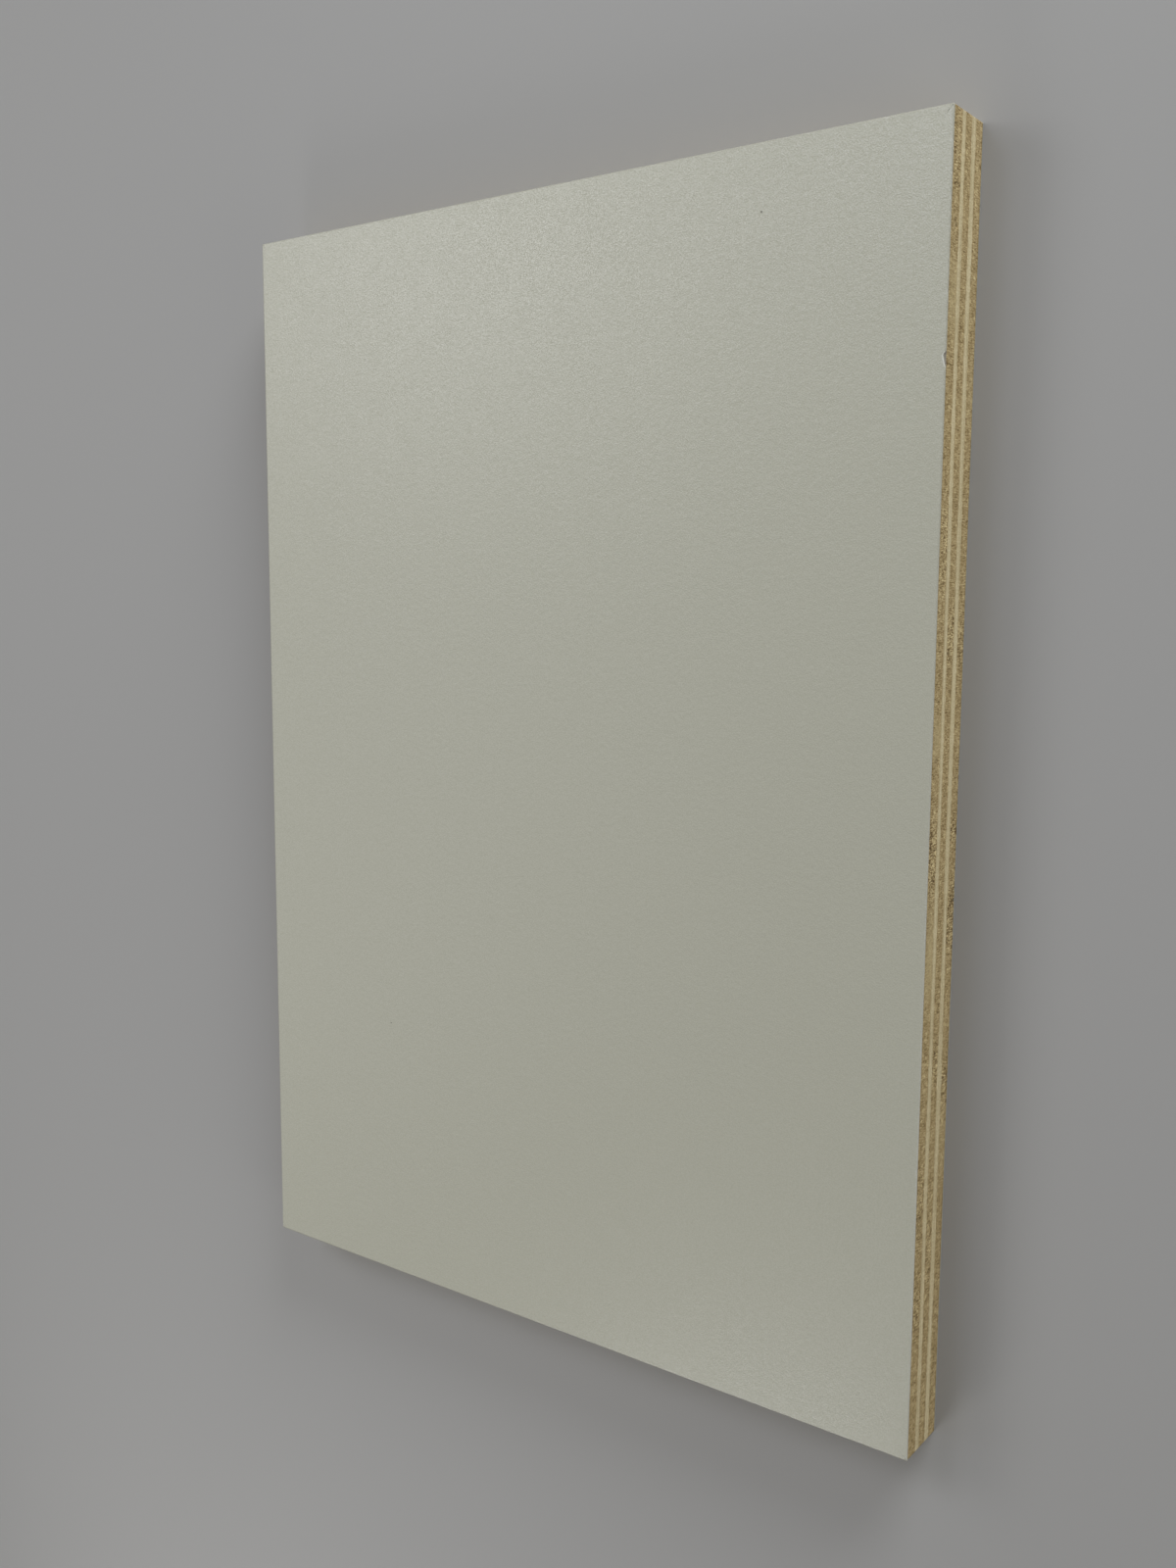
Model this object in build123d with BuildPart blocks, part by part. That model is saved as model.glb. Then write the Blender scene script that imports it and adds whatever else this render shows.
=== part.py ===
from build123d import *
import os

# A white-faced plywood sample panel, lying flat with its good face up.
# Five veneers are glued crosswise into one board, and a thin laminate is
# bonded over both faces. Width runs along X, length along Y, thickness up Z.
# The origin is the middle of the back face. All sizes are in millimetres.

panel_width = 210.0
panel_length = 297.0

# Layer thicknesses, from the back up
back_laminate_thickness = 0.3
back_ply_thickness = 3.5
back_crossband_thickness = 2.3
centre_ply_thickness = 3.2
face_crossband_thickness = 2.0
face_ply_thickness = 4.0
face_laminate_thickness = 0.3

# The corners of the plan, with only their sharpness taken off
corner_radius = 0.3

# The outer arris of each laminate is eased with a light chamfer
arris_ease = 0.12

# Chips broken out of the face laminate along its right-hand edge.
# Each is a shallow bite: its middle measured from the far end of the panel,
# its length along the edge, and its depth in from the edge.
chips = [
    (37.6, 1.8, 0.2),
    (51.0, 3.4, 0.65),
]

# Heights of the glued joints, each one built on the layer below
back_ply_bottom = back_laminate_thickness
back_crossband_bottom = back_ply_bottom + back_ply_thickness
centre_ply_bottom = back_crossband_bottom + back_crossband_thickness
face_crossband_bottom = centre_ply_bottom + centre_ply_thickness
face_ply_bottom = face_crossband_bottom + face_crossband_thickness
face_laminate_bottom = face_ply_bottom + face_ply_thickness


def sawn_outline():
    """Draw the panel's plan: every layer is sawn to it in one cut, so all are flush."""
    RectangleRounded(panel_width, panel_length, corner_radius)


def chip_outline(from_far_end, length, depth):
    """Draw a round bite whose chord on the right-hand edge is the chip's length."""
    radius = (length**2 / 4 + depth**2) / (2 * depth)
    across = panel_width / 2 - depth + radius
    along = panel_length / 2 - from_far_end
    with Locations((across, along)):
        Circle(radius)


# Back laminate, the skin that the panel rests on
with BuildPart() as back_laminate:
    with BuildSketch(Plane.XY):
        sawn_outline()
    extrude(amount=back_laminate_thickness)
    outer_face = back_laminate.faces().sort_by(Axis.Z)[0]
    chamfer(outer_face.edges(), length=arris_ease)

# Back ply, grain across the width
with BuildPart() as back_ply:
    with BuildSketch(Plane.XY.offset(back_ply_bottom)):
        sawn_outline()
    extrude(amount=back_ply_thickness)

# Back crossband, grain along the length
with BuildPart() as back_crossband:
    with BuildSketch(Plane.XY.offset(back_crossband_bottom)):
        sawn_outline()
    extrude(amount=back_crossband_thickness)

# Centre ply, grain across the width
with BuildPart() as centre_ply:
    with BuildSketch(Plane.XY.offset(centre_ply_bottom)):
        sawn_outline()
    extrude(amount=centre_ply_thickness)

# Face crossband, grain along the length
with BuildPart() as face_crossband:
    with BuildSketch(Plane.XY.offset(face_crossband_bottom)):
        sawn_outline()
    extrude(amount=face_crossband_thickness)

# Face ply, grain across the width
with BuildPart() as face_ply:
    with BuildSketch(Plane.XY.offset(face_ply_bottom)):
        sawn_outline()
    extrude(amount=face_ply_thickness)

# Face laminate, eased along its arris and then chipped by handling
with BuildPart() as face_laminate:
    with BuildSketch(Plane.XY.offset(face_laminate_bottom)):
        sawn_outline()
    extrude(amount=face_laminate_thickness)
    outer_face = face_laminate.faces().sort_by(Axis.Z)[-1]
    chamfer(outer_face.edges(), length=arris_ease)
    with BuildSketch(Plane.XY.offset(face_laminate_bottom)):
        for from_far_end, length, depth in chips:
            chip_outline(from_far_end, length, depth)
    extrude(amount=face_laminate_thickness, mode=Mode.SUBTRACT)

back_laminate.part.label = "back_laminate"
back_ply.part.label = "back_ply"
back_crossband.part.label = "back_crossband"
centre_ply.part.label = "centre_ply"
face_crossband.part.label = "face_crossband"
face_ply.part.label = "face_ply"
face_laminate.part.label = "face_laminate"

os.makedirs("parts", exist_ok=True)
export_step(back_laminate.part, "parts/back_laminate.step")
export_step(back_ply.part, "parts/back_ply.step")
export_step(back_crossband.part, "parts/back_crossband.step")
export_step(centre_ply.part, "parts/centre_ply.step")
export_step(face_crossband.part, "parts/face_crossband.step")
export_step(face_ply.part, "parts/face_ply.step")
export_step(face_laminate.part, "parts/face_laminate.step")
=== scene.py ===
import math

import bpy
import numpy as np
from mathutils import Matrix, Vector
from mathutils.geometry import delaunay_2d_cdt


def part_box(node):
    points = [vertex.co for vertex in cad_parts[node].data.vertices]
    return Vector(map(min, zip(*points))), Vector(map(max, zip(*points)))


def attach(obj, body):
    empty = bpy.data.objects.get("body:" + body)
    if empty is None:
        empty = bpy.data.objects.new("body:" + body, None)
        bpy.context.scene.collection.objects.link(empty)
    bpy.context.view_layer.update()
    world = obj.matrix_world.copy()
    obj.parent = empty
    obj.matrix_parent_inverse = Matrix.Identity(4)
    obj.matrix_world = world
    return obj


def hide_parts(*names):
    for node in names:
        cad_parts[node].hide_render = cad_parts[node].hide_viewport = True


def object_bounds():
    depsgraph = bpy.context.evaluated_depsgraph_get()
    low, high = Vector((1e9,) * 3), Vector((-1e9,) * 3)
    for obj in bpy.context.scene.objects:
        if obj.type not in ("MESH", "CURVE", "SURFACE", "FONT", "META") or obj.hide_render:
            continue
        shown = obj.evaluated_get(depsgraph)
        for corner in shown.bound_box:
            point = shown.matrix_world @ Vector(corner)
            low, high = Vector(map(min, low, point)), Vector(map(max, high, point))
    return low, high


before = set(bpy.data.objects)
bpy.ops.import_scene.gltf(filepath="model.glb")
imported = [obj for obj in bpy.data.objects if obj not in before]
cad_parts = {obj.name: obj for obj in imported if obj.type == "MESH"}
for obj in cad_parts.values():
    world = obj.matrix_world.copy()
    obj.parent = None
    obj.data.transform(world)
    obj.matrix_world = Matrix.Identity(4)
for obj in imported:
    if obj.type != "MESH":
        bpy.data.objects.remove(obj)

cad_box = [list(corner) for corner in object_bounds()]


# The board: five rotary-peeled poplar veneers, glued crosswise and sawn to size.
# Where the saw cuts across the fibres the edge is brown, matt and pitted, and
# where it cuts along them it is pale and smooth.

MM = 0.001

# Sizes from here on are in millimetres. The edge's mesh is as fine as its grain
CUT_STEP = 0.3
LAYER_STEP = 0.28
CORNER_RADIUS = 0.3
CORNER_STEPS = 5
SHARP_ANGLE = math.radians(48)

# The flat side of a layer has a coarser mesh: three rings, each this far in from
# the edge and keeping one point in so many, round a square net
CAP_RINGS = [(2.5, 1), (3.5, 6), (7.0, 24)]
CAP_NET = 12.0


def box_in_mm(node):
    """Lowest and highest corners of a node, in millimetres."""
    low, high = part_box(node)
    return np.array(low) / MM, np.array(high) / MM


panel_low = np.array(cad_box[0]) / MM
panel_high = np.array(cad_box[1]) / MM
half_width = (panel_high[0] - panel_low[0]) / 2
half_length = (panel_high[1] - panel_low[1]) / 2


def walk_outline():
    """Points and outward directions every CUT_STEP round the panel's plan, anticlockwise."""
    centres_x = half_width - CORNER_RADIUS
    centres_y = half_length - CORNER_RADIUS
    places, outward = [], []
    for turn in range(4):
        angle = turn * math.pi / 2
        out = np.array([math.cos(angle), math.sin(angle)])
        ahead = np.array([-out[1], out[0]])
        reach = half_width if turn % 2 == 0 else half_length
        run = centres_y if turn % 2 == 0 else centres_x
        steps = round(2 * run / CUT_STEP)
        for at in np.linspace(-run, run, steps + 1):
            places.append(out * reach + ahead * at)
            outward.append(out)
        corner = out * (reach - CORNER_RADIUS) + ahead * run
        for bend in np.linspace(0, math.pi / 2, CORNER_STEPS + 1)[1:-1]:
            way = out * math.cos(bend) + ahead * math.sin(bend)
            places.append(corner + way * CORNER_RADIUS)
            outward.append(way)
    return np.array(places), np.array(outward)


outline, outward = walk_outline()
faces_x = abs(outward[:, 0]) > abs(outward[:, 1])
along_cut = np.where(faces_x, outline[:, 1], outline[:, 0])
side_seed = np.where(faces_x, outward[:, 0] > 0, 2 + (outward[:, 1] > 0)).astype(int)
on_right = faces_x & (outward[:, 0] > 0)


def scatter(column, row, seed):
    """A repeatable random number from 0 to 1 for each cell of a grid, stirred with large odd factors."""
    cell = column.astype(np.int64) * 73856093 ^ row.astype(np.int64) * 19349663
    cell = cell ^ np.asarray(seed, dtype=np.int64) * 83492791
    cell = (cell ^ cell >> 13) * 1274126177 & 0x7FFFFFFF
    return (cell ^ cell >> 15) % 65536 / 65535


def clouds(along, up, length, height, seed):
    """Smooth patches from 0 to 1, each about length by height in millimetres."""
    column, row = np.floor(along / length), np.floor(up / height)
    u, v = along / length - column, up / height - row
    u, v = u * u * (3 - 2 * u), v * v * (3 - 2 * v)
    lower = scatter(column, row, seed) * (1 - u) + scatter(column + 1, row, seed) * u
    upper = scatter(column, row + 1, seed) * (1 - u) + scatter(column + 1, row + 1, seed) * u
    return lower * (1 - v) + upper * v


def ripple(length, seed):
    """Smooth values from 0 to 1 that change only along the edge, each about a length long."""
    return clouds(along_cut, np.zeros(len(along_cut)), length, 1.0, seed)


def ramp(value, start, full):
    """0 up to the start, 1 from the full value on, and a straight slope between them."""
    return np.clip((value - start) / (full - start), 0, 1)


def bump_at(along, place, reach):
    """A smooth hump from 0 to 1 to 0 about a place along the edge."""
    away = np.clip(abs(along - place) / reach, 0, 1)
    return (1 - away * away) ** 2


# A glue line drifts slowly and ripples quickly: length, and height from trough to crest
GLUE_DRIFT = (21.0, 0.208)
GLUE_RIPPLE = (5.5, 0.104)


def glue_wave(height):
    """How far a glue line strays up or down as it runs round the edge."""
    seed = int(round(height * 10)) + side_seed * 7
    slow = ripple(GLUE_DRIFT[0], seed) - 0.5
    quick = ripple(GLUE_RIPPLE[0], seed + 50) - 0.5
    return GLUE_DRIFT[1] * slow + GLUE_RIPPLE[1] * quick


# Patches of the right-hand edge: ply, middle from the far end, half length, strength
ROUGH_PATCHES = [
    ("face_ply", 10, 14, 0.5),
    ("face_ply", 90, 14, 0.4),
    ("face_ply", 157, 12, 1.0),
    ("face_ply", 235, 14, 0.5),
    ("face_ply", 262, 12, 0.6),
    ("centre_ply", 109, 9, 0.9),
    ("centre_ply", 204, 9, 0.5),
    ("centre_ply", 250, 22, 0.3),
    ("back_ply", 110, 10, 0.5),
    ("back_ply", 152, 5, 0.8),
    ("back_ply", 172, 13, 1.0),
    ("back_ply", 212, 10, 0.7),
]
PALE_PATCHES = [
    ("face_ply", 38, 12, 0.6),
    ("face_ply", 131, 7, 0.7),
    ("face_ply", 180, 16, 0.9),
    ("back_ply", 55, 10, 0.3),
    ("back_ply", 225, 12, 0.3),
]

# Holes in the right-hand edge: ply, from the far end, below the ply's top, half length
PITS = [
    ("face_ply", 23.6, 2.9, 0.55),
    ("face_ply", 22.6, 2.2, 0.3),
    ("face_ply", 97.5, 3.0, 0.3),
    ("face_ply", 136.0, 2.5, 0.32),
    ("back_ply", 152.5, 1.2, 0.35),
]
PIT_DEPTH = 0.5
PIT_FLATNESS = 1.3

# The knot's dark ring: ply, from the far end, below the ply's top, radius
KNOT = ("face_ply", 136.0, 2.5, 0.75)
KNOT_WIDTH = 0.3
KNOT_DEPTH = 0.06

# Chips broken out along the right-hand edge of the face: middle from the far end, length, depth.
# A chip is deepest near its far end
CHIPS = [
    (37.6, 1.8, 0.2),
    (51.0, 3.4, 0.65),
]
CHIP_DEEPEST = 0.22
CHIP_RAG = 0.7

# Nicks crumbled out of a laminate's edge: length of each, length of a cluster, greatest depth
NICK_LENGTH = 0.9
NICK_CLUSTER = 8.0
NICK_DEPTH = 0.14


def arris_nicks(chips, seed):
    """How far a laminate's edge is broken back, all round."""
    crumbs = ripple(NICK_LENGTH, seed + side_seed)
    clusters = ripple(NICK_CLUSTER, seed + 20 + side_seed)
    broken = NICK_DEPTH * ramp(crumbs, 0.65, 1) * ramp(clusters, 0.35, 0.85)
    ragged = ripple(CHIP_RAG, seed + 40 + side_seed)
    for from_far_end, length, depth in chips:
        passed = ramp(half_length - from_far_end - along_cut, -length / 2, length / 2)
        bite = np.minimum(passed / CHIP_DEEPEST, (1 - passed) / (1 - CHIP_DEEPEST)) ** 0.75 * depth
        broken = np.maximum(broken, bite * (0.75 + 0.25 * ragged) * on_right)
    return broken


face_nicks = arris_nicks(CHIPS, 400)


def patchwork(name, patches):
    """The strength of a ply's named patches all round the edge."""
    strength = np.zeros(len(along_cut))
    for ply, from_far_end, reach, amount in patches:
        if ply == name:
            here = bump_at(along_cut, half_length - from_far_end, reach) * amount
            strength = np.where(on_right, np.maximum(strength, here), strength)
    return strength


# The marks that the saw leaves: their length along the edge and height up it
STRAY_PATCHES = (9.0, 9.0)
FLUFF = (0.55, 0.45)
TUFTS = (1.6, 1.1)
RING_BANDS = (26.0, 0.75)
TORN_PORES = (0.62, 1.1)
SILKY_STREAKS = (18.0, 0.4)
SPLITS = (7.0, 0.42)
GLUE_SMEAR = 0.9
# Length of the dashes of dirt and painted shade in the shadow line under a skin
DIRT_AND_SHADE_DASH = 1.3


def cut_across(along, up, rough, fluff, seed):
    """How deep the saw tore the ends of the fibres, and where it left them pitted."""
    tufts = clouds(along, up, *TUFTS, seed + 3)
    bands = clouds(along, up, *RING_BANDS, seed + 4)
    pores = clouds(along, up, *TORN_PORES, seed + 5)
    pits_and_shade = ramp(pores + 0.2 * rough, 0.86, 1.06) * (0.35 + 0.65 * rough)
    return 0.01 + 0.03 * fluff + 0.03 * tufts + 0.012 * bands + 0.16 * pits_and_shade, pits_and_shade


def cut_lengthwise(along, up, low, high, fluff, seed):
    """How deep the saw tore along the fibres, and where they are split or smeared with glue."""
    silk = clouds(along, up, *SILKY_STREAKS, seed + 6)
    torn = ramp(clouds(along, up, *SPLITS, seed + 7), 0.9, 1.025)
    depth = 0.02 + 0.02 * silk + 0.01 * fluff + 0.10 * torn
    by_glue = ramp(np.minimum(up - low, high - up), 0.72, 0.12)
    smeared = by_glue * ramp(ripple(GLUE_SMEAR, seed + 9), 0.2, 0.7)
    return depth, np.maximum(torn, 1.1 * smeared)


def add_holes(name, along, below_top, depth, pits_and_shade):
    """Cut a ply's holes and its knot into the relief of its edge, and darken them: painted shade in a
    hole, the knot's own dark ring.
    """
    for ply, from_far_end, down, reach in PITS:
        if ply == name:
            away = np.hypot(along - half_length + from_far_end, (below_top - down) * PIT_FLATNESS)
            hole = ramp(away / reach, 1.3, 0.3) * on_right
            pits_and_shade = np.maximum(pits_and_shade, hole)
            depth = depth + PIT_DEPTH * hole
    ply, from_far_end, down, radius = KNOT
    if ply == name:
        away = np.hypot(along - half_length + from_far_end, below_top - down)
        ring = ramp(abs(away - radius), KNOT_WIDTH, 0) * on_right
        pits_and_shade = np.maximum(pits_and_shade, 0.6 * ring)
        depth = depth + KNOT_DEPTH * ring
    return depth, pits_and_shade


def sawn_relief(name, fibres_along_x, low, high):
    """Heights over a ply's edge, the depth cut in there, how pitted it is and where shade is painted on
    it, and how pale and rough it is.
    """
    rows = max(2, round((high.mean() - low.mean()) / LAYER_STEP))
    share = np.linspace(0, 1, rows + 1)[:, None]
    up = low[None, :] * (1 - share) + high[None, :] * share
    along = np.broadcast_to(along_cut, up.shape)
    seed = side_seed + 10 * rows + len(name)
    end_grain = faces_x if fibres_along_x else ~faces_x

    stray = clouds(along, up, *STRAY_PATCHES, seed + 1)
    rough = patchwork(name, ROUGH_PATCHES)
    rough = np.maximum(rough, ramp(stray, 0.55, 1.05) * ~on_right)
    pale = patchwork(name, PALE_PATCHES) * ramp(high - up, 0, 1.4)
    pale = np.maximum(pale, ramp(stray, 1 / 2.6, 0) * ~on_right)

    fluff = clouds(along, up, *FLUFF, seed + 2)
    across, pits_and_shade = cut_across(along, up, rough, fluff, seed)
    lengthwise, torn = cut_lengthwise(along, up, low, high, fluff, seed)
    across, pits_and_shade = add_holes(name, along, high - up, across, pits_and_shade)

    # The outer plies get a painted shadow line along their skin, darker in dashes where small nicks hold
    # dirt and painted shade. Under a chip the face ply is cut deeper and painted with shade
    if name in ("face_ply", "back_ply"):
        from_skin = high - up if name == "face_ply" else up - low
        dashes = ramp(ripple(DIRT_AND_SHADE_DASH, seed + 8), 0.5, 0.5 + 1 / 2.4)
        shadow_line_and_dirt = 0.2 + dashes * (0.3 + 0.5 * rough)
        pits_and_shade = np.maximum(pits_and_shade, shadow_line_and_dirt * ramp(from_skin, 0.6, 0.1))
    if name == "face_ply":
        below_chip = ramp(high - up, 0.6, 0) * ramp(face_nicks, 0, 0.2)
        pits_and_shade = np.maximum(pits_and_shade, 0.5 * below_chip)
        across = across + below_chip * face_nicks * 0.15

    depth = np.where(end_grain, across, lengthwise)
    pits_and_shade = np.where(end_grain, pits_and_shade, 0.5 * torn)
    return up, depth, {"pit_and_shade": pits_and_shade, "pale": pale * end_grain, "rough": rough + 0 * up}


def shrunk(inset, every=1):
    """The outline drawn smaller about its middle, so that its sides move in by the inset."""
    return outline[::every] * (1 - inset / np.array([half_width, half_length]))


def close_flat():
    """Plan points inside the first shrunk ring, and the triangles that close it flat."""
    rings = [shrunk(inset, every) for inset, every in CAP_RINGS]
    across = np.arange(-half_width + CAP_NET, half_width - CAP_NET + 1, CAP_NET)
    ahead = np.arange(-half_length + CAP_NET, half_length - CAP_NET + 1, CAP_NET)
    net = np.stack(np.meshgrid(across, ahead), -1).reshape(-1, 2)
    places = np.concatenate([*rings, net])
    rim = [list(range(len(outline)))]
    inside_rim, tolerance = 1, 1e-6
    found = delaunay_2d_cdt([Vector(place) for place in places], [], rim, inside_rim, tolerance)
    source = [given[0] for given in found[3]]
    triangles = np.array([[source[corner] for corner in face] for face in found[2]])
    return places[len(outline):], triangles


cap_points, cap_triangles = close_flat()


def ring_solid(name, rings, kinds, attributes):
    """A closed mesh through rings of points, from the lower cap up round the edge to the upper cap."""
    count, levels = len(outline), len(rings)
    low_cap = np.column_stack([cap_points, np.full(len(cap_points), rings[0][0, 2])])
    high_cap = np.column_stack([cap_points, np.full(len(cap_points), rings[-1][0, 2])])
    points = np.concatenate([*rings, low_cap, high_cap]) * MM
    first = np.arange(count)
    after = np.roll(first, -1)
    quads = [
        np.stack([first, after, after + count, first + count], 1) + row * count
        for row in range(levels - 1)
    ]
    on_rim = cap_triangles < count
    low_faces = np.where(on_rim, cap_triangles, cap_triangles + (levels - 1) * count)
    high_faces = cap_triangles + (levels - 1) * count + np.where(on_rim, 0, len(cap_points))
    faces = np.concatenate(quads).tolist() + low_faces[:, ::-1].tolist() + high_faces.tolist()
    mesh = bpy.data.meshes.new(name)
    mesh.from_pydata(points.tolist(), [], faces)
    flat = np.zeros(2 * len(cap_triangles))
    kinds = np.concatenate([np.tile(kinds, levels - 1), flat]).astype(np.int32)
    mesh.polygons.foreach_set("material_index", kinds)
    mesh.shade_smooth()
    mesh.set_sharp_from_angle(angle=SHARP_ANGLE)
    for label, values in attributes.items():
        layer = mesh.attributes.new(label, "FLOAT", "POINT")
        marks = np.concatenate([*values, np.zeros(2 * len(cap_points))])
        layer.data.foreach_set("value", marks.astype(np.float32))
    piece = bpy.data.objects.new(name, mesh)
    bpy.context.scene.collection.objects.link(piece)
    return piece


def ring_at(depth, height):
    """The outline moved in by a depth, at a height."""
    plan = outline - outward * np.broadcast_to(depth, len(outline))[:, None]
    return np.column_stack([plan, np.broadcast_to(height, len(outline))])


def rim_at(height):
    """The ring where an edge meets a flat cap, at a height."""
    return np.column_stack([shrunk(CAP_RINGS[0][0]), np.full(len(outline), height)])


def linear(hex_colour):
    """An sRGB hex colour as linear red, green, blue and alpha."""
    parts = [int(hex_colour[i:i + 2], 16) / 255 for i in (1, 3, 5)]
    parts = [p / 12.92 if p <= 0.04045 else ((p + 0.055) / 1.055) ** 2.4 for p in parts]
    return (*parts, 1.0)


def add(tree, kind, inputs, stops=(), **settings):
    """Add a node with its settings; an input is a value, or another node's output."""
    node = tree.nodes.new(kind)
    for name, value in settings.items():
        setattr(node, name, value)
    for name, value in inputs.items():
        if isinstance(value, bpy.types.NodeSocket):
            tree.links.new(value, node.inputs[name])
        else:
            node.inputs[name].default_value = value
    for position, colour in stops:
        spare = len(node.color_ramp.elements) == 2 and position in (0, 1)
        stop = node.color_ramp.elements[position] if spare else node.color_ramp.elements.new(position)
        stop.color = linear(colour)
    return node


def per_metre(size_mm):
    """A noise scale whose patches are about this many millimetres across."""
    return 1 / (size_mm * MM)


def new_material(name):
    """A node material and its node tree, with nothing in it yet."""
    material = bpy.data.materials.new(name)
    material.use_nodes = True
    material.node_tree.nodes.clear()
    return material, material.node_tree


# Poplar sawn across its fibres: open, light-swallowing cell ends in brown tones,
# with bands where the growth rings lie, dark specks and a few torn pores.

END_DARK = "#503D24"
END_BROWN = "#8B7851"
END_MID = "#A28F68"
END_LIGHT = "#D0BF91"
END_PALE = "#B2A37B"

# Width along the edge and height up it. Pores are drawn a few times coarser than
# they are, and taller, so that they show on an edge seen this steeply
PORE_MM = (0.28, 0.6)
CHECK_MM = (0.32, 1.5)
CLUMP_MM = (1.3, 1.6)
RING_MM = (14.0, 0.9)
CLUMP_WEIGHT = 0.7
RING_WEIGHT = 0.25

# The lowest and highest sum of the four grains, how far they swing the tone from
# its middle, and how much further where the wood is torn
GRAIN_SUM = (1.03, 1.92)
TONE_SWING = 0.43
TORN_SWING = 1.1

# How far a pale patch, and a pit or painted shade, take the colour with them, and the height of the fine
# grain
PALE_SHARE = 0.6
PIT_AND_SHADE_SHARE = 0.75
END_RELIEF_MM = 0.08


def end_grain_wood():
    material, tree = new_material("poplar_end_grain")
    place = add(tree, "ShaderNodeTexCoord", {}).outputs["Object"]
    grains = []
    for wide_mm, tall_mm in (PORE_MM, CHECK_MM, CLUMP_MM, RING_MM):
        wide, tall = per_metre(wide_mm), per_metre(tall_mm)
        drawn = add(tree, "ShaderNodeVectorMath", {0: place, 1: (wide, wide, tall)}, operation="MULTIPLY")
        grain = add(tree, "ShaderNodeTexNoise", {"Vector": drawn.outputs[0], "Scale": 1.0, "Detail": 1.5})
        grains.append(grain.outputs["Fac"])
    pores, checks, clumps, growth_rings = grains
    fine = add(tree, "ShaderNodeMath", {0: pores, 1: checks})
    mottled = add(tree, "ShaderNodeMath", {0: clumps, 1: CLUMP_WEIGHT, 2: fine.outputs[0]},
                  operation="MULTIPLY_ADD")
    banded = add(tree, "ShaderNodeMath", {0: growth_rings, 1: RING_WEIGHT, 2: mottled.outputs[0]},
                 operation="MULTIPLY_ADD")
    swing = add(tree, "ShaderNodeMapRange",
                {"Value": banded.outputs[0], "From Min": GRAIN_SUM[0], "From Max": GRAIN_SUM[1],
                 "To Min": -TONE_SWING, "To Max": TONE_SWING})
    rough = add(tree, "ShaderNodeAttribute", {}, attribute_name="rough")
    torn = add(tree, "ShaderNodeMath", {0: rough.outputs["Fac"], 1: swing.outputs[0]},
               operation="MULTIPLY")
    wider = add(tree, "ShaderNodeMath", {0: torn.outputs[0], 1: TORN_SWING, 2: swing.outputs[0]},
                operation="MULTIPLY_ADD")
    tone = add(tree, "ShaderNodeMath", {0: wider.outputs[0], 1: 0.5})
    colour = add(tree, "ShaderNodeValToRGB", {"Fac": tone.outputs[0]},
                 stops=[(0, END_DARK), (1, END_LIGHT), (0.35, END_BROWN), (0.58, END_MID)])
    pale = add(tree, "ShaderNodeAttribute", {}, attribute_name="pale")
    fade = add(tree, "ShaderNodeMath", {0: pale.outputs["Fac"], 1: PALE_SHARE}, operation="MULTIPLY")
    faded = add(tree, "ShaderNodeMix",
                {0: fade.outputs[0], 6: colour.outputs[0], 7: linear(END_PALE)}, data_type="RGBA")
    # The next mark darkens pits, holes and the knot ring, and paints shade along a skin and under a chip
    pit_and_shade = add(tree, "ShaderNodeAttribute", {}, attribute_name="pit_and_shade")
    hollow = add(tree, "ShaderNodeMath", {0: pit_and_shade.outputs["Fac"], 1: PIT_AND_SHADE_SHARE}, operation="MULTIPLY")
    marked = add(tree, "ShaderNodeMix",
                 {0: hollow.outputs[0], 6: faded.outputs[2], 7: linear(END_DARK)}, data_type="RGBA")
    bump = add(tree, "ShaderNodeBump",
               {"Height": fine.outputs[0], "Strength": 0.5, "Distance": END_RELIEF_MM * MM})
    shader = add(tree, "ShaderNodeBsdfPrincipled",
                 {"Base Color": marked.outputs[2], "Roughness": 0.92, "Specular IOR Level": 0.25,
                  "Normal": bump.outputs[0]})
    add(tree, "ShaderNodeOutputMaterial", {"Surface": shader.outputs[0]})
    return material


# Poplar sawn along its fibres: pale, nearly white wood, smoother and a little
# shinier than the end grain, with a faint silky streak and a nap of cut fibres.

LONG_DARK = "#A2936F"
LONG_MID = "#BDAF8A"
LONG_LIGHT = "#CFC3A0"

# Length with the fibres and thickness across them
FIBRE_MM = (16.0, 0.16)
STREAK_MM = (45.0, 0.7)
NAP_MM = (0.4, 0.3)
NAP_WEIGHT = 1.5

# The lowest and highest sum of the three grains, and the height of the fibres
FIBRE_SUM = (1.35, 2.15)
LONG_RELIEF_MM = 0.05


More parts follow.
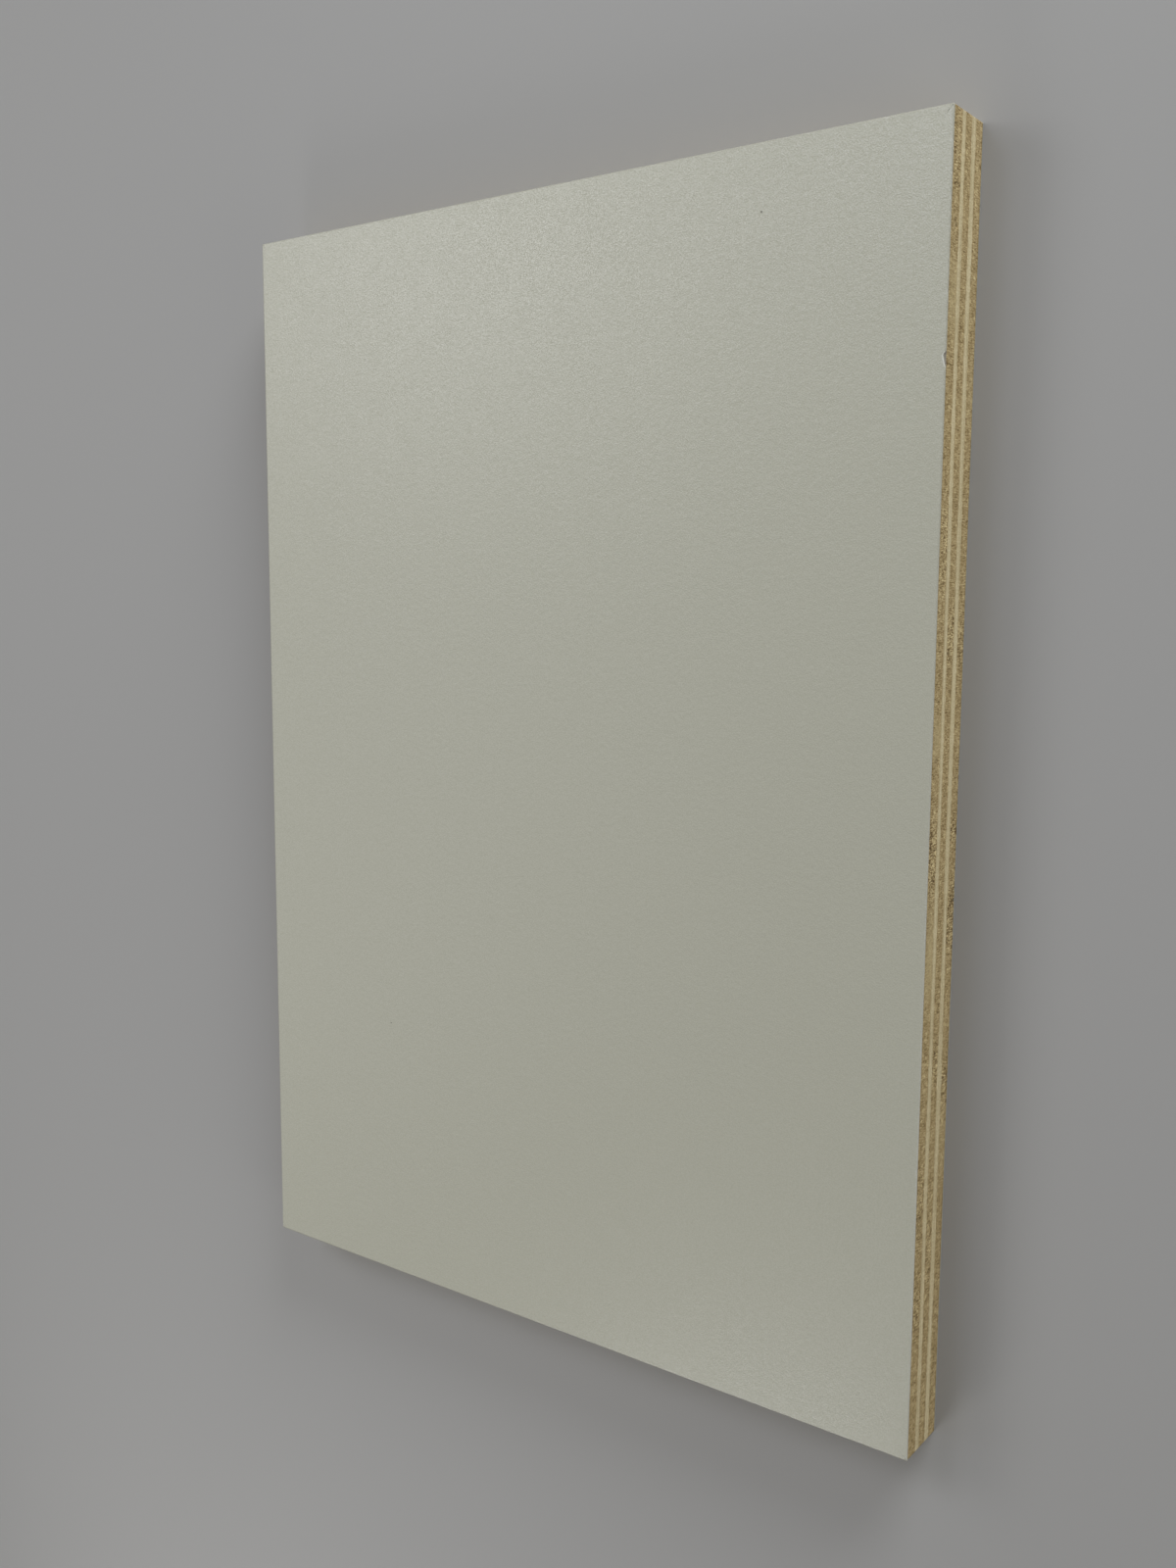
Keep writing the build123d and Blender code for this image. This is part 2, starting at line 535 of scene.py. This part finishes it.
def long_grain_wood(name, fibres_along_x):
    material, tree = new_material(name)
    place = add(tree, "ShaderNodeTexCoord", {}).outputs["Object"]
    grains = []
    for long_mm, thin_mm in (FIBRE_MM, STREAK_MM, NAP_MM):
        lengthwise, thin = per_metre(long_mm), per_metre(thin_mm)
        stretch = (lengthwise, thin, thin) if fibres_along_x else (thin, lengthwise, thin)
        drawn = add(tree, "ShaderNodeVectorMath", {0: place, 1: stretch}, operation="MULTIPLY")
        grain = add(tree, "ShaderNodeTexNoise", {"Vector": drawn.outputs[0], "Scale": 1.0, "Detail": 2.0})
        grains.append(grain.outputs["Fac"])
    fibres, streaks, nap = grains
    silky = add(tree, "ShaderNodeMath", {0: fibres, 1: streaks})
    napped = add(tree, "ShaderNodeMath", {0: nap, 1: NAP_WEIGHT, 2: silky.outputs[0]},
                 operation="MULTIPLY_ADD")
    tone = add(tree, "ShaderNodeMapRange",
               {"Value": napped.outputs[0], "From Min": FIBRE_SUM[0], "From Max": FIBRE_SUM[1]})
    colour = add(tree, "ShaderNodeValToRGB", {"Fac": tone.outputs[0]},
                 stops=[(0, LONG_DARK), (1, LONG_LIGHT), (0.5, LONG_MID)])
    pit_and_shade = add(tree, "ShaderNodeAttribute", {}, attribute_name="pit_and_shade")
    marked = add(tree, "ShaderNodeMix",
                 {0: pit_and_shade.outputs["Fac"], 6: colour.outputs[0], 7: linear(END_BROWN)}, data_type="RGBA")
    bump = add(tree, "ShaderNodeBump",
               {"Height": fibres, "Strength": 0.35, "Distance": LONG_RELIEF_MM * MM})
    shader = add(tree, "ShaderNodeBsdfPrincipled",
                 {"Base Color": marked.outputs[2], "Roughness": 0.72, "Specular IOR Level": 0.4,
                  "Normal": bump.outputs[0]})
    add(tree, "ShaderNodeOutputMaterial", {"Surface": shader.outputs[0]})
    return material


# A veneer shows its end grain on two sides and its long grain on the other two.
# Its outer glue lines are straight, under the skins, and its inner ones stray.

end_grain = end_grain_wood()
long_grain = {
    True: long_grain_wood("poplar_long_grain_x", True),
    False: long_grain_wood("poplar_long_grain_y", False),
}
first_glue_line = float(box_in_mm("back_ply")[0][2])
last_glue_line = float(box_in_mm("face_ply")[1][2])


def saw_veneer(node, fibres_along_x):
    """One veneer with its waved glue lines and the relief that the saw left on its edge."""
    low, high = box_in_mm(node)
    setback = half_width - high[0]
    bottom, top = float(low[2]), float(high[2])
    inner_bottom = bottom > first_glue_line + 0.01
    inner_top = top < last_glue_line - 0.01
    lower = bottom + glue_wave(bottom) * inner_bottom
    upper = top + glue_wave(top) * inner_top
    up, depth, marks = sawn_relief(node, fibres_along_x, lower, upper)
    plain = np.zeros(len(outline))
    rings = [rim_at(bottom)]
    rings += [ring_at(setback + depth[row], up[row]) for row in range(len(up))]
    rings += [rim_at(top)]
    lengthwise_sides = ~faces_x if fibres_along_x else faces_x
    attributes = {label: [plain, *values, values[-1]] for label, values in marks.items()}
    veneer = ring_solid(node + "_sawn", rings, lengthwise_sides, attributes)
    veneer.data.materials.append(end_grain)
    veneer.data.materials.append(long_grain[fibres_along_x])
    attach(veneer, "root")
    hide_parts(node)


for node in ("back_ply", "centre_ply", "face_ply"):
    saw_veneer(node, True)
for node in ("back_crossband", "face_crossband"):
    saw_veneer(node, False)


# The skins: white melamine laminate, pressed on in one go and cut with the board.
# It is satin with a fine pearl texture, and its sawn arris is eased and nicked.

LAMINATE_WHITE = "#A9A899"
# The lip colour paints the arris paler: a painted highlight that grows toward the near end, and a paler
# rim round a chip
LAMINATE_LIP_AND_HIGHLIGHT = "#CBCBC2"
# The core colour paints the cut edge and arris a little greyer and a chip's hollow grey: painted shade,
# over the grey broken core in a chip
LAMINATE_CORE_AND_SHADE = "#7E796E"
LAMINATE_SPECK = "#5A564C"
ARRIS_EASE = 0.12

# The pearl glints, over a soft orange peel. The gloss changes slowly from place to place
PEARL_MM = 0.33
PEEL_MM = 1.3
SWELL_MM = 9.0
PEEL_WEIGHT = 0.6
PEARL_RANGE = (0.3, 0.7)
PEARL_RELIEF_MM = 0.05
SATIN_ROUGHNESS = (0.30, 0.38)

# Dust specks pressed into the face: across from the left edge, down from the far end, radius.
# A speck is darkest over this share of its radius
SPECKS = [(165.2, 15.0, 0.28), (48.0, 222.5, 0.22)]
SPECK_CORE = 0.6


def satin_laminate():
    material, tree = new_material("satin_white_laminate")
    place = add(tree, "ShaderNodeTexCoord", {}).outputs["Object"]
    pearl = add(tree, "ShaderNodeTexNoise",
                {"Vector": place, "Scale": per_metre(PEARL_MM), "Detail": 1.5})
    orange_peel = add(tree, "ShaderNodeTexNoise",
                      {"Vector": place, "Scale": per_metre(PEEL_MM), "Detail": 0.0})
    relief = add(tree, "ShaderNodeMath",
                 {0: orange_peel.outputs["Fac"], 1: PEEL_WEIGHT, 2: pearl.outputs["Fac"]},
                 operation="MULTIPLY_ADD")
    swell = add(tree, "ShaderNodeTexNoise", {"Vector": place, "Scale": per_metre(SWELL_MM)})
    satin = add(tree, "ShaderNodeMapRange",
                {"Value": swell.outputs["Fac"], "To Min": SATIN_ROUGHNESS[0],
                 "To Max": SATIN_ROUGHNESS[1]})
    # The next mark paints the arris paler: a painted highlight toward the near end, and a paler rim round
    # a chip
    lip_and_highlight = add(tree, "ShaderNodeAttribute", {}, attribute_name="lip_and_highlight")
    # The next mark greys the cut edge and arris a little and a chip's hollow more, as painted shade
    core_and_shade = add(tree, "ShaderNodeAttribute", {}, attribute_name="core_and_shade")
    arris_highlight_and_lip = add(tree, "ShaderNodeMix",
                 {0: lip_and_highlight.outputs["Fac"], 6: linear(LAMINATE_WHITE), 7: linear(LAMINATE_LIP_AND_HIGHLIGHT)},
                 data_type="RGBA")
    broken = add(tree, "ShaderNodeMix",
                 {0: core_and_shade.outputs["Fac"], 6: arris_highlight_and_lip.outputs[2], 7: linear(LAMINATE_CORE_AND_SHADE)},
                 data_type="RGBA")
    colour = broken.outputs[2]
    for from_left, from_far_end, radius in SPECKS:
        spot = ((from_left - half_width) * MM, (half_length - from_far_end) * MM, panel_high[2] * MM)
        away = add(tree, "ShaderNodeVectorMath", {0: place, 1: spot}, operation="DISTANCE")
        inside = add(tree, "ShaderNodeMapRange",
                     {"Value": away.outputs["Value"], "From Min": radius * MM,
                      "From Max": SPECK_CORE * radius * MM})
        mixed = add(tree, "ShaderNodeMix",
                    {0: inside.outputs[0], 6: colour, 7: linear(LAMINATE_SPECK)}, data_type="RGBA")
        colour = mixed.outputs[2]
    bump = add(tree, "ShaderNodeBump",
               {"Height": relief.outputs[0], "Strength": 1.0, "Distance": PEARL_RELIEF_MM * MM})
    glint = add(tree, "ShaderNodeMapRange",
                {"Value": pearl.outputs["Fac"], "From Min": PEARL_RANGE[0], "From Max": PEARL_RANGE[1]})
    shader = add(tree, "ShaderNodeBsdfPrincipled",
                 {"Base Color": colour, "Roughness": satin.outputs[0], "IOR": 1.5,
                  "Specular IOR Level": glint.outputs[0], "Normal": bump.outputs[0]})
    add(tree, "ShaderNodeOutputMaterial", {"Surface": shader.outputs[0]})
    return material


laminate = satin_laminate()


def press_skin(node, nicks, face_up):
    """One skin: an eased arris, and nicks that slope in. Its cut edge and arris carry painted shade,
    greyest in a nick's hollow, and a painted highlight toward the near end, with a paler rim round a
    chip.
    """
    low, high = box_in_mm(node)
    bottom, top = float(low[2]), float(high[2])
    glued, outer = (bottom, top) if face_up else (top, bottom)
    plain = np.zeros(len(outline))
    bared = ramp(nicks, 0, 0.25)
    # A painted highlight on the right-hand arris: none at the far end, growing toward the near end
    arris_highlight_and_lip = 0.4 * ramp(along_cut / half_length, 0.5, -0.5) * on_right
    shoulder = outer + (glued - outer) * (0.4 + 0.3 * bared)
    rings = [
        rim_at(glued),
        ring_at(nicks * 0.1, glued),
        ring_at(nicks * 0.8, shoulder),
        ring_at(nicks + ARRIS_EASE, outer),
        ring_at(nicks + 3 * ARRIS_EASE, outer),
        rim_at(outer),
    ]
    # Painted shade: the cut edge and the arris a little greyer, a nick's hollow grey
    core_and_shade_rings = [plain, np.maximum(0.5, bared), np.maximum(0.4, bared), 0.25 * (1 - bared), plain, plain]
    # The arris paler: the painted highlight, and a paler rim round a chip
    lip_and_highlight_rings = [plain, arris_highlight_and_lip, arris_highlight_and_lip, np.maximum(arris_highlight_and_lip, bared), plain, plain]
    if not face_up:
        for from_glue_out in (rings, core_and_shade_rings, lip_and_highlight_rings):
            from_glue_out.reverse()
    skin = ring_solid(node + "_skin", rings, np.zeros(len(outline)), {"core_and_shade": core_and_shade_rings, "lip_and_highlight": lip_and_highlight_rings})
    skin.data.materials.append(laminate)
    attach(skin, "root")
    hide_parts(node)


press_skin("back_laminate", arris_nicks([], 300), False)
press_skin("face_laminate", face_nicks, True)


# The viewpoint: above the panel's right-hand side, looking down at its middle,
# with the panel's far end at the top of the picture.

CAMERA_PLACE = Vector((232.05, 47.21, 312.82)) * MM
CAMERA_AIM = Vector((12.94, 0.89, 15.6)) * MM
CAMERA_ROLL = math.radians(0.33)
CAMERA_LENS = 33.675

lens = bpy.data.cameras.new("viewpoint")
lens.lens = CAMERA_LENS
lens.sensor_width = 36.0
lens.clip_start = 0.01
camera = bpy.data.objects.new("viewpoint", lens)
bpy.context.scene.collection.objects.link(camera)
forward = (CAMERA_AIM - CAMERA_PLACE).normalized()
right = forward.cross(Vector((0, 1, 0))).normalized()
upward = right.cross(forward)
turned = Matrix((right, upward, -forward)).transposed()
camera.matrix_world = (
    Matrix.Translation(CAMERA_PLACE)
    @ turned.to_4x4()
    @ Matrix.Rotation(CAMERA_ROLL, 4, "Z")
)
bpy.context.scene.camera = camera


# The floor and the light: a plain pale floor under a grey sky, with soft round
# lamps all round. The one beyond the far right corner has a narrower beam, so
# that it rakes the sawn edge without flooding the floor beneath it.

FLOOR_GREY = "#9B9A98"
FLOOR_SIZE = 4.0
SKY_LEVEL = 0.2

# Name, place and width in metres, power in watts, beam in degrees, tint
LAMPS = [
    ("far_left", (-0.55, 0.35, 0.60), 0.45, 1.75, 180, "#FFFFFF"),
    ("above_far", (-0.165, 0.52, 0.77), 0.30, 1.25, 180, "#F0F3FF"),
    ("far_right", (0.45, 0.80, 0.25), 0.50, 2.3, 90, "#F7FBFF"),
    ("left", (-0.60, -0.10, 0.50), 0.60, 0.65, 180, "#FFFFFF"),
    ("near_left", (-0.15, -0.50, 0.30), 0.25, 0.80, 180, "#FFFFFF"),
    ("near_right", (0.70, -0.25, 0.22), 0.40, 1.0, 180, "#FFFBF6"),
]

floor_material, tree = new_material("pale_floor")
shader = add(tree, "ShaderNodeBsdfPrincipled",
             {"Base Color": linear(FLOOR_GREY), "Roughness": 0.95, "Specular IOR Level": 0.1})
add(tree, "ShaderNodeOutputMaterial", {"Surface": shader.outputs[0]})
reach = FLOOR_SIZE / 2
corners = [(-reach, -reach, 0), (reach, -reach, 0), (reach, reach, 0), (-reach, reach, 0)]
floor_mesh = bpy.data.meshes.new("floor")
floor_mesh.from_pydata(corners, [], [(0, 1, 2, 3)])
floor_mesh.materials.append(floor_material)
floor = bpy.data.objects.new("floor", floor_mesh)
bpy.context.scene.collection.objects.link(floor)

for name, place, size, power, beam, tint in LAMPS:
    lamp = bpy.data.lights.new(name, "AREA")
    lamp.shape = "DISK"
    lamp.size = size
    lamp.energy = power
    lamp.spread = math.radians(beam)
    lamp.color = linear(tint)[:3]
    holder = bpy.data.objects.new(name, lamp)
    holder.location = place
    holder.rotation_euler = (-Vector(place)).to_track_quat("-Z", "Y").to_euler()
    bpy.context.scene.collection.objects.link(holder)

world = bpy.data.worlds.new("grey_sky")
world.use_nodes = True
world.node_tree.nodes["Background"].inputs["Color"].default_value = (1, 1, 1, 1)
world.node_tree.nodes["Background"].inputs["Strength"].default_value = SKY_LEVEL
bpy.context.scene.world = world
bpy.context.scene.view_settings.view_transform = "Standard"
